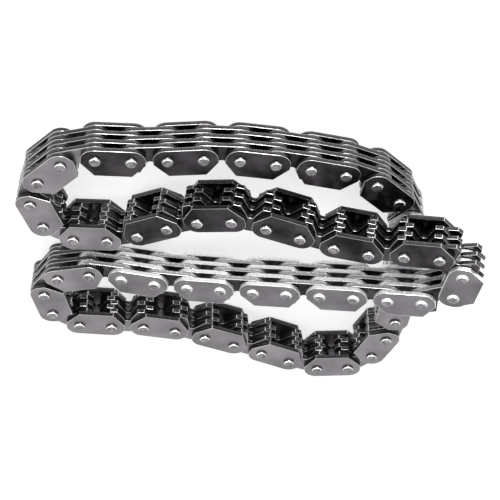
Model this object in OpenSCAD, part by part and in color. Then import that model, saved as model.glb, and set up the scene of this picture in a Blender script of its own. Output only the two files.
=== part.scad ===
// Endless inverted-tooth timing chain lying on its side in a heap, pins about upright, all sizes in mm.

/* [Chain] */
// distance between neighbouring pins
pitch = 9.525; // [8:0.125:12.7]
// thickness of one plate
plate_t = 1.3; // [1:0.1:2]
// side gap between neighbouring plates
side_gap = 0.2; // [0.18:0.01:0.3]

/* [Plates] */
// plate length beyond the pin centre
end_over = 3.84; // [3.4:0.02:4.2]
// flat back of the plate above the pin line
back_h = 4; // [3.6:0.1:4.6]
// radius of the two corners on the back
back_r = 3.6; // [2.8:0.1:3.8]
// tooth tips below the pin line
tip_h = 5.9; // [5:0.1:6.4]
// half width of the plate at the tooth tips
tip_w = 5; // [4.4:0.1:5.6]
// start of the tooth flank below the pin line
flank_h = 1.2; // [0.8:0.1:2]
// half width of the crotch at the tooth tips
crotch_w = 3; // [2.4:0.1:3.4]
// centre of the crotch root below the pin line
crotch_h = 2.6; // [2.3:0.1:3]
// radius of the crotch root
crotch_r = 1.1; // [0.8:0.1:1.3]

/* [Pins] */
// pin diameter
pin_d = 3.2; // [2.6:0.1:3.6]
// pin end standing proud of the guide plate
pin_proud = 0.75; // [0.4:0.05:1]
// chamfer round the pin ends
pin_edge = 0.25; // [0.1:0.05:0.35]
// radial clearance of the turning bores
run_clear = 0.12; // [0.11:0.01:0.15]
// radial gap left in the pressed bores
press_gap = 0.01; // [0.01:0.005:0.02]
// radial clearance in the bore where the loop is joined
join_clear = 0.3; // [0.28:0.02:0.4]

/* [Hidden] */
$fn = 48;
links = 60;
layers = 7;
step = plate_t + side_gap;
stack = layers * plate_t + (layers - 1) * side_gap;
half_len = pitch / 2 + end_over;
pin_len = stack + 2 * pin_proud;

// way of the loop: place over the floor and height in pitches, and lean of the pins in degrees
way = [
    // top strand
    [-4.2, 6.0, 0, 0], [-2.9, 5.75, 0, 0], [-1.5, 6.0, 0, 0], [0.2, 5.9, 0, 0],
    [1.9, 5.5, 0, 0], [3.3, 5.2, 0, 0], [4.5, 4.4, 0, 0],
    // right side, under the two strands that rise
    [5.1, 2.8, 0, 0], [5.1, 0.9, 0, 0], [5.0, -0.9, 0, 0], [4.8, -2.8, 0, 0], [4.1, -4.5, 0, 0],
    // bottom strand
    [2.8, -5.1, 0, 0], [1.0, -4.1, 0, 0], [-0.9, -3.1, 0, 0], [-2.6, -2.4, 0, 0], [-4.0, -2.3, 0, 0],
    // left turn
    [-5.2, -2.4, 0.005, 0.8], [-6.2, -1.7, 0.015, 1.5], [-6.4, -0.3, 0.03, 2.6], [-5.5, 0.7, 0.07, 4.6],
    // middle strand, rising to the right
    [-4.0, 0.6, 0.2, 6.1], [-2.6, 0.4, 0.37, 7.4], [-0.9, 0.5, 0.61, 8.3], [1.0, 0.7, 0.9, 8.9],
    [2.6, 0.9, 1.16, 9.1], [4.2, 1.1, 1.42, 9.1],
    // turn back
    [5.3, 1.1, 1.6, 9.1], [6.4, 1.5, 1.78, 9.1], [6.7, 2.7, 1.83, 9.1], [5.8, 3.7, 1.68, 9.1],
    // inner strand, going down to the left
    [4.4, 3.2, 1.45, 9.1], [2.6, 3.3, 1.16, 9.1], [0.9, 3.9, 0.885, 8.9], [-0.7, 4.1, 0.64, 8.4],
    [-2.1, 3.4, 0.44, 7.7], [-3.4, 2.6, 0.27, 6.6],
    // upper left turn
    [-4.8, 2.2, 0.125, 5.2], [-6.0, 2.7, 0.045, 3.8], [-6.4, 4.2, 0.02, 2.2], [-5.5, 5.7, 0.005, 0.9]
];
ways = len(way);
function at(i) = way[(i + ways) % ways];
function place(v) = [v[0], v[1], v[2]];

// point and slope of the smooth curve along the way
function curve(u) = let (i = floor(u), t = u - i)
    ((1 - t) * (1 - t) * (1 - t) * at(i - 1)
    + (3 * t * t * t - 6 * t * t + 4) * at(i)
    + (-3 * t * t * t + 3 * t * t + 3 * t + 1) * at(i + 1)
    + t * t * t * at(i + 2)) / 6;
function slope(u) = let (i = floor(u), t = u - i)
    (-(1 - t) * (1 - t) * at(i - 1)
    + (3 * t * t - 4 * t) * at(i)
    + (-3 * t * t + 2 * t + 1) * at(i + 1)
    + t * t * at(i + 2)) / 2;

// next pin along the curve at chord c, then the whole walk round the loop
function settle(u, v, c, n) = n == 0 ? v :
    let (q = place(curve(v) - curve(u)), l = norm(q))
    settle(u, v - (l - c) * l / (q * place(slope(v))), c, n - 1);
function next_pin(u, c) = settle(u, u + c / norm(place(slope(u))), c, 6);
function walk(c) = [for (i = 0, u = 0; i <= links; i = i + 1, u = next_pin(u, c)) u];

// chord at which the last link meets the first pin again
function fit(c0, e0, c1, n) = let (e1 = walk(c1)[links] - ways)
    (n == 0 || abs(e1) < 1e-10) ? c1 : fit(c1, e1, c1 - e1 * (c1 - c0) / (e1 - e0), n - 1);
chord = fit(1, walk(1)[links] - ways, 1.02, 8);
stops = walk(chord);
pins = [for (i = [0 : links]) place(curve(i == links ? 0 : stops[i])) * pitch / chord];
mids = [for (i = [0 : links - 1]) (pins[i] + pins[i + 1]) / 2];

// axes of each link: along the pins' centres, towards the back, and along the pins
function unit(v) = v / norm(v);
ahead = [for (i = [0 : links - 1]) unit(pins[i + 1] - pins[i])];
upward = [
    for (i = [0 : links - 1])
        let (a = curve((stops[i] + stops[i + 1]) / 2)[3], n = [-sin(a), 0, cos(a)])
        unit(n - (n * ahead[i]) * ahead[i])
];
across = [for (i = [0 : links - 1]) cross(upward[i], ahead[i])];

// middle of the loop's box over the floor, from the corners of every plate, and the lowest pin end
rims = [
    for (i = [0 : links - 1], s = [-1, 1], k = [-1, 1])
        let (level = mids[i] + k * stack / 2 * upward[i])
        each [
            concat(level + s * tip_w * ahead[i] - tip_h * across[i], [0, i]),
            concat(level + s * half_len * ahead[i] - flank_h * across[i], [0, i]),
            concat(level + s * (half_len - back_r) * ahead[i] + (back_h - back_r) * across[i], [back_r, i])
        ]
];
function reach(r, k) = r[3] * sqrt(1 - upward[r[4]][k] * upward[r[4]][k]);
function middle(k) = (max([for (r = rims) r[k] + reach(r, k)])
    + min([for (r = rims) r[k] - reach(r, k)])) / 2;
lowest = min([
    for (i = [0 : links - 1])
        let (n = upward[i], r = pin_d / 2 - pin_edge)
        min(pins[i].z, pins[i + 1].z) - pin_len / 2 * n.z - r * sqrt(max(0, 1 - n.z * n.z))
]);
centre = [middle(0), middle(1), lowest];

function two(i) = str(i < 10 ? "0" : "", i);

// plate with flat back, chamfered tooth side and two bores of radial clearance a and b
module outline(a, b) {
    difference() {
        union() {
            polygon([
                [-tip_w, -tip_h], [tip_w, -tip_h], [half_len, -flank_h], [half_len, back_h - back_r],
                [half_len - back_r, back_h], [back_r - half_len, back_h],
                [-half_len, back_h - back_r], [-half_len, -flank_h]
            ]);
            translate([half_len - back_r, back_h - back_r])
                circle(back_r);
            translate([back_r - half_len, back_h - back_r])
                circle(back_r);
        }
        translate([-pitch / 2, 0])
            circle(pin_d / 2 + a);
        translate([pitch / 2, 0])
            circle(pin_d / 2 + b);
    }
}

// crotch between the two teeth
module crotch() {
    polygon([
        [-crotch_w, -tip_h], [-crotch_w, -tip_h - 1], [crotch_w, -tip_h - 1], [crotch_w, -tip_h],
        [crotch_r, -crotch_h], [-crotch_r, -crotch_h]
    ]);
    translate([0, -crotch_h])
        circle(crotch_r);
}

module guide_plate() {
    linear_extrude(plate_t)
        outline(press_gap, press_gap);
}

module toothed_plate(a, b) {
    linear_extrude(plate_t)
        difference() {
            outline(a, b);
            crotch();
        }
}

module pin() {
    r = pin_d / 2;
    rotate_extrude()
        polygon([
            [0, 0], [r - pin_edge, 0], [r, pin_edge],
            [r, pin_len - pin_edge], [r - pin_edge, pin_len], [0, pin_len]
        ]);
}

module layer(k) {
    translate([0, 0, pin_proud + k * step])
        children();
}

module placed(i) {
    x = ahead[i];
    y = across[i];
    z = upward[i];
    o = mids[i] - centre - pin_len / 2 * z;
    multmatrix([[x.x, y.x, z.x, o.x], [x.y, y.y, z.y, o.y], [x.z, y.z, z.z, o.z], [0, 0, 0, 1]])
        children();
}

// two guide plates, two toothed plates and two pins
module guide_link(i) {
    color([0.4, 0.39, 0.41])
        placed(i) {
            layer(0)
                guide_plate();
            layer(2)
                toothed_plate(press_gap, press_gap);
            layer(4)
                toothed_plate(press_gap, press_gap);
            layer(6)
                guide_plate();
            translate([-pitch / 2, 0, 0])
                pin();
            translate([pitch / 2, 0, 0])
                pin();
        }
}

// three toothed plates that turn on the pins of the two guide links beside them
module inner_link(i) {
    last = i == links - 1 ? join_clear : run_clear;
    color([0.55, 0.54, 0.56])
        placed(i)
            for (k = [1 : 2 : 5])
                layer(k)
                    toothed_plate(run_clear, last);
}

for (i = [0 : links - 1])
    union() {
        if (i % 2 == 0) guide_link(i);
        else inner_link(i);
    }
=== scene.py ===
"""Looks of the timing chain: dark oiled steel links on a pale floor, seen as in the photo, with reflections,
highlights and shade painted into the link colours.
"""
import math

import bpy
from mathutils import Matrix, Vector

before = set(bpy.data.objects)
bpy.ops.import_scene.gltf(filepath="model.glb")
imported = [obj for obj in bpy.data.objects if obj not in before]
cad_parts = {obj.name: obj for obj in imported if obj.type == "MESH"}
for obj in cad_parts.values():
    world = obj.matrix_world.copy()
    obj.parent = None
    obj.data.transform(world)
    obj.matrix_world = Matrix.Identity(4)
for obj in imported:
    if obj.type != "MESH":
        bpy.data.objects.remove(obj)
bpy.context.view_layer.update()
scene = bpy.context.scene
scene.view_settings.view_transform = "Standard"

# stack of plates on a pin, in metres
MM = 0.001
PLATE = 1.3 * MM
SIDE_GAP = 0.2 * MM
LAYERS = 7
LAYER = PLATE + SIDE_GAP
HALF_STACK = (LAYERS * LAYER - SIDE_GAP) / 2

# rounding of the edges, after the corners of the CAD mesh are joined
WELD = 0.002 * MM
BEVEL = 0.1 * MM
BEVEL_STEPS = 2
BEVEL_FROM = math.radians(50)

# grains in noise cycles per metre: blanked plate edges carry streaks along the pins,
# faces are rolled and change tone slowly
EVEN = (260, 260, 260)
ROLLED = (95, 95, 95)
STREAKS = (2600, 2600, 900)
PITTED = (900, 900, 900)
RAGGED = (1500, 1500, 300)
SPECKS = (3600, 3600, 3600)

# parts of the plate's thickness at which a blanked edge starts to tear and is fully torn,
# and how far that wanders
TEAR_STARTS = 0.58
TEAR_FULL = 0.66
TEAR_WANDERS = 0.3

GLOSS_SPREAD = 0.15
BUMP_STRENGTH = 0.5


def steel(name, colour, rough, spread=0.1, grain=EVEN, relief=0.0, speckle=0.0, torn=0.0):
    """Oiled steel: a colour that wanders with the grain, relief from the same grain and fine dark specks.

    A blanked edge is burnished on one part of the plate's thickness and torn on the rest,
    where it is duller by the share torn.
    """
    mat = bpy.data.materials.new(name)
    mat.use_nodes = True
    nodes, links = mat.node_tree.nodes, mat.node_tree.links
    shader = nodes["Principled BSDF"]
    shader.inputs["Metallic"].default_value = 1.0
    place = nodes.new("ShaderNodeTexCoord")

    def noise(scale, low, high):
        stretch = nodes.new("ShaderNodeMapping")
        stretch.inputs["Scale"].default_value = scale
        links.new(place.outputs["Object"], stretch.inputs["Vector"])
        cloud = nodes.new("ShaderNodeTexNoise")
        cloud.inputs["Scale"].default_value = 1.0
        cloud.inputs["Detail"].default_value = 4.0
        links.new(stretch.outputs[0], cloud.inputs["Vector"])
        sharp = nodes.new("ShaderNodeMapRange")
        sharp.inputs["From Min"].default_value = low
        sharp.inputs["From Max"].default_value = high
        links.new(cloud.outputs["Fac"], sharp.inputs["Value"])
        return sharp.outputs[0]

    def blend(factor, first, second):
        mix = nodes.new("ShaderNodeMix")
        mix.data_type = "RGBA"
        links.new(factor, mix.inputs["Factor"])
        for socket, value in (("A", first), ("B", second)):
            if isinstance(value, tuple):
                mix.inputs[socket].default_value = (*value, 1)
            else:
                links.new(value, mix.inputs[socket])
        return mix.outputs["Result"]

    def darker(share):
        return tuple(v * (1 - share) for v in colour)

    wander = noise(grain, 0.35, 0.65)
    clear = tuple(min(1.0, v * (1 + spread)) for v in colour)
    tone = blend(wander, darker(spread), clear)
    if torn:
        across = nodes.new("ShaderNodeAttribute")
        across.attribute_name = "across"
        ragged = nodes.new("ShaderNodeMath")
        ragged.operation = "MULTIPLY_ADD"
        ragged.inputs[1].default_value = TEAR_WANDERS
        links.new(noise(RAGGED, 0.3, 0.7), ragged.inputs[0])
        links.new(across.outputs["Fac"], ragged.inputs[2])
        band = nodes.new("ShaderNodeMapRange")
        band.inputs["From Min"].default_value = TEAR_STARTS
        band.inputs["From Max"].default_value = TEAR_FULL
        links.new(ragged.outputs[0], band.inputs["Value"])
        tone = blend(band.outputs[0], tone, darker(torn))
    if speckle:
        tone = blend(noise(SPECKS, 0.6, 0.68), tone, darker(speckle))
    links.new(tone, shader.inputs["Base Color"])
    gloss = nodes.new("ShaderNodeMapRange")
    gloss.inputs["To Min"].default_value = rough * (1 + GLOSS_SPREAD)
    gloss.inputs["To Max"].default_value = rough * (1 - GLOSS_SPREAD)
    links.new(wander, gloss.inputs["Value"])
    links.new(gloss.outputs[0], shader.inputs["Roughness"])
    if relief:
        bump = nodes.new("ShaderNodeBump")
        bump.inputs["Strength"].default_value = BUMP_STRENGTH
        bump.inputs["Distance"].default_value = relief
        links.new(wander, bump.inputs["Height"])
        links.new(bump.outputs[0], shader.inputs["Normal"])
    return mat


# bevelled plate rims get a light colour as a painted highlight glinting along each plate's edge, whiter on
# the pale stretches
RIM_HIGHLIGHT = steel("rim_painted_highlight", (0.66, 0.65, 0.66), 0.3, 0.2)
BRIGHT_RIM_HIGHLIGHT = steel("bright_rim_painted_highlight", (0.93, 0.92, 0.93), 0.28, 0.07)
PIN_END = steel("pin_end", (0.25, 0.24, 0.25), 0.22, 0.45, PITTED, 0.03 * MM)
# pin chamfers get a near-white colour as a painted crescent highlight round each pin end
PIN_RIM_HIGHLIGHT = steel("pin_rim_painted_highlight", (0.85, 0.84, 0.85), 0.2, 0.1)
# side walls of the pins proud of the plates get a near-black colour as painted shade at the foot of each pin
PIN_WALL_SHADE = steel("pin_wall_painted_shade", (0.045, 0.043, 0.045), 0.35, 0.2)
# one steel in darker and lighter copies: the faces and edges of each stretch carry painted reflections of
# their surroundings, the near-black edges of the grey stretches painted shade under the neighbouring strand,
# the near-white pale edges a painted reflection of the lit floor
DARK_REFLECTION_FACE = steel("face_painted_dark_reflection", (0.043, 0.04, 0.043), 0.26, 0.75, ROLLED)
DARK_REFLECTION_EDGE = steel("edge_painted_dark_reflection", (0.095, 0.09, 0.092), 0.36, 0.3, STREAKS, 0.02 * MM, torn=0.45)
GREY_REFLECTION_FACE = steel("face_painted_grey_reflection", (0.26, 0.245, 0.26), 0.32, 0.22, ROLLED)
SHADED_GREY_EDGE = steel("edge_painted_shade_grey", (0.075, 0.072, 0.075), 0.38, 0.4, STREAKS, 0.02 * MM, torn=0.45)
PALE_REFLECTION_FACE = steel("face_painted_pale_reflection", (0.2, 0.19, 0.2), 0.32, 0.25, ROLLED)
PALE_REFLECTION_EDGE = steel("edge_painted_pale_reflection", (0.97, 0.96, 0.97), 0.5, 0.05, STREAKS, 0.01 * MM, 0.6, 0.1)
# a dimmer copy of the pale edge is a painted reflection on the first half of the right side and on the
# middle strand's inner links
DIM_REFLECTION_EDGE = steel("edge_painted_dim_reflection", (0.62, 0.61, 0.62), 0.46, 0.3, STREAKS, 0.02 * MM, 0.5, 0.35)

# face, edge and rim of a guide link, then of an inner link: the painted reflection, shade and highlight
# colours of a stretch
DARK = ((DARK_REFLECTION_FACE, DARK_REFLECTION_EDGE, RIM_HIGHLIGHT), (DARK_REFLECTION_FACE, DARK_REFLECTION_EDGE, RIM_HIGHLIGHT))
GREY = ((GREY_REFLECTION_FACE, SHADED_GREY_EDGE, RIM_HIGHLIGHT), (GREY_REFLECTION_FACE, SHADED_GREY_EDGE, RIM_HIGHLIGHT))
PALE = ((PALE_REFLECTION_FACE, PALE_REFLECTION_EDGE, BRIGHT_RIM_HIGHLIGHT), (DARK_REFLECTION_FACE, DIM_REFLECTION_EDGE, BRIGHT_RIM_HIGHLIGHT))
DIM_REFLECTION = ((PALE_REFLECTION_FACE, DIM_REFLECTION_EDGE, BRIGHT_RIM_HIGHLIGHT), (DARK_REFLECTION_FACE, DIM_REFLECTION_EDGE, RIM_HIGHLIGHT))

# number of the first link after each stretch of the loop, and the stretch's painted reflection, shade and
# highlight colours
STRANDS = [
    (10, DARK),  # top strand
    (13, DIM_REFLECTION),  # first half of the right side
    (31, GREY),  # rest of the right side, bottom strand and left turn
    (43, PALE),  # middle strand and the start of the turn back
    (54, DARK),  # rest of the turn back and inner strand
    (60, GREY),  # upper left turn
]

# material slots of a link: rims and pin chamfers take painted highlights, pin walls painted shade
FACE_SLOT, EDGE_SLOT, PIN_END_SLOT, RIM_HIGHLIGHT_SLOT, PIN_RIM_HIGHLIGHT_SLOT, PIN_WALL_SHADE_SLOT = range(6)

# how far a face's normal follows the pins on a flat face and at least on a pin's chamfer
FLAT = 0.9
SLANTED = 0.3
MARGIN = 0.03 * MM


def pin_direction(mesh):
    """Direction of the pins, from the plate faces and pin ends that look up."""
    up = Vector()
    for poly in mesh.polygons:
        if poly.normal.z > 0.95:
            up += poly.normal * poly.area
    return up.normalized()


def slot_of(poly, up, middle):
    """Material slot of a face: what stands clear of the stack is pin, the rest is plate."""
    level = abs(poly.normal.dot(up))
    if abs(poly.center.dot(up) - middle) <= HALF_STACK + MARGIN:
        return FACE_SLOT if level > FLAT else EDGE_SLOT
    if level > FLAT:
        return PIN_END_SLOT
    # a pin's chamfer takes the painted highlight, its upright wall the painted shade
    return PIN_RIM_HIGHLIGHT_SLOT if level > SLANTED else PIN_WALL_SHADE_SLOT


def dress(obj, face, edge, rim):
    """Give plate faces, plate edges, pin ends and the bevelled rims of one link their own colours: painted
    reflections and shade on faces and edges, painted highlights on rims and pin chamfers, painted shade on
    pin walls.
    """
    mesh = obj.data
    mesh.materials.clear()
    for mat in (face, edge, PIN_END, rim, PIN_RIM_HIGHLIGHT, PIN_WALL_SHADE):
        mesh.materials.append(mat)
    up = pin_direction(mesh)
    heights = [v.co.dot(up) for v in mesh.vertices]
    middle = (min(heights) + max(heights)) / 2
    # place in the thickness of its plate, from 0 at the lower face to 1 at the upper one
    across = mesh.attributes.new("across", "FLOAT", "POINT")
    for vertex, height in zip(mesh.vertices, heights):
        above = height - middle + HALF_STACK
        across.data[vertex.index].value = (above - LAYER * math.floor(above / LAYER + 0.05)) / PLATE
    for poly in mesh.polygons:
        poly.material_index = slot_of(poly, up, middle)
    weld = obj.modifiers.new("weld", "WELD")
    weld.merge_threshold = WELD
    bevel = obj.modifiers.new("rim", "BEVEL")
    bevel.width = BEVEL
    bevel.segments = BEVEL_STEPS
    bevel.limit_method = "ANGLE"
    bevel.angle_limit = BEVEL_FROM
    bevel.material = RIM_HIGHLIGHT_SLOT


for name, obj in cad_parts.items():
    is_inner = name.startswith("inner")
    number = 2 * (int(name[-2:]) - 1) + is_inner
    look = next(look for end, look in STRANDS if number < end)
    dress(obj, *look[is_inner])


def in_sight(tree):
    """Output that is 1 for what is seen, mirrored or looked at through glass, and 0 for light that falls."""
    path = tree.nodes.new("ShaderNodeLightPath")
    sight = path.outputs["Is Camera Ray"]
    for ray in ("Is Glossy Ray", "Is Transmission Ray"):
        either = tree.nodes.new("ShaderNodeMath")
        either.operation = "MAXIMUM"
        tree.links.new(sight, either.inputs[0])
        tree.links.new(path.outputs[ray], either.inputs[1])
        sight = either.outputs[0]
    return sight


# floor that shows white and keeps a soft shadow
FLOOR_SIZE = 6
FLOOR_GREY = 0.6
FLOOR_GLOW = 0.62
bpy.ops.mesh.primitive_plane_add(size=FLOOR_SIZE)
floor = bpy.context.object
floor.name = "floor"
pale = bpy.data.materials.new("floor")
pale.use_nodes = True
nodes, links = pale.node_tree.nodes, pale.node_tree.links
nodes.clear()
out = nodes.new("ShaderNodeOutputMaterial")
matt = nodes.new("ShaderNodeBsdfDiffuse")
matt.inputs["Color"].default_value = (FLOOR_GREY, FLOOR_GREY, FLOOR_GREY, 1)
glow = nodes.new("ShaderNodeEmission")
level = nodes.new("ShaderNodeMath")
level.operation = "MULTIPLY"
level.inputs[1].default_value = FLOOR_GLOW
links.new(in_sight(pale.node_tree), level.inputs[0])
links.new(level.outputs[0], glow.inputs["Strength"])
both = nodes.new("ShaderNodeAddShader")
links.new(matt.outputs[0], both.inputs[0])
links.new(glow.outputs[0], both.inputs[1])
links.new(both.outputs[0], out.inputs["Surface"])
floor.data.materials.append(pale)

# white surroundings for what is seen and mirrored, softer as light
WORLD_LIGHT = 0.55
WORLD_WHITE = 1.0
world = bpy.data.worlds.new("studio")
scene.world = world
world.use_nodes = True
nodes, links = world.node_tree.nodes, world.node_tree.links
back = nodes["Background"]
level = nodes.new("ShaderNodeMapRange")
level.inputs["To Min"].default_value = WORLD_LIGHT
level.inputs["To Max"].default_value = WORLD_WHITE
links.new(in_sight(world.node_tree), level.inputs["Value"])
links.new(level.outputs[0], back.inputs["Strength"])
back.inputs["Color"].default_value = (1, 1, 1, 1)


def lamp(name, spot, size, watts):
    """Square lamp at a spot in metres, turned towards the middle of the heap."""
    light = bpy.data.lights.new(name, "AREA")
    light.size = size
    light.energy = watts
    obj = bpy.data.objects.new(name, light)
    obj.location = spot
    obj.rotation_euler = Vector(spot).to_track_quat("Z", "Y").to_euler()
    scene.collection.objects.link(obj)


lamp("key", spot=(0.25, 0.55, 0.5), size=0.35, watts=1.2)
lamp("fill", spot=(-0.5, 0.3, 0.45), size=0.4, watts=1.0)
lamp("low", spot=(0.1, 0.8, 0.2), size=0.5, watts=9.0)

# camera on the top strand's side, turned upside down as the photo is
TILT = math.radians(37.5)
AWAY = 0.478
AIM = Vector((-0.0004, -0.0034, 0))
LENS = 118.3
SENSOR = 36
NEAREST = 0.01
behind = Vector((0, math.cos(TILT), math.sin(TILT)))
up = Vector((0, math.sin(TILT), -math.cos(TILT)))
turn = Matrix((Vector((1, 0, 0)), up, behind)).transposed().to_4x4()
eye = bpy.data.cameras.new("camera")
eye.lens = LENS
eye.sensor_width = SENSOR
eye.clip_start = NEAREST
camera = bpy.data.objects.new("camera", eye)
camera.matrix_world = Matrix.Translation(AIM + AWAY * behind) @ turn
scene.collection.objects.link(camera)
scene.camera = camera

bpy.context.view_layer.update()
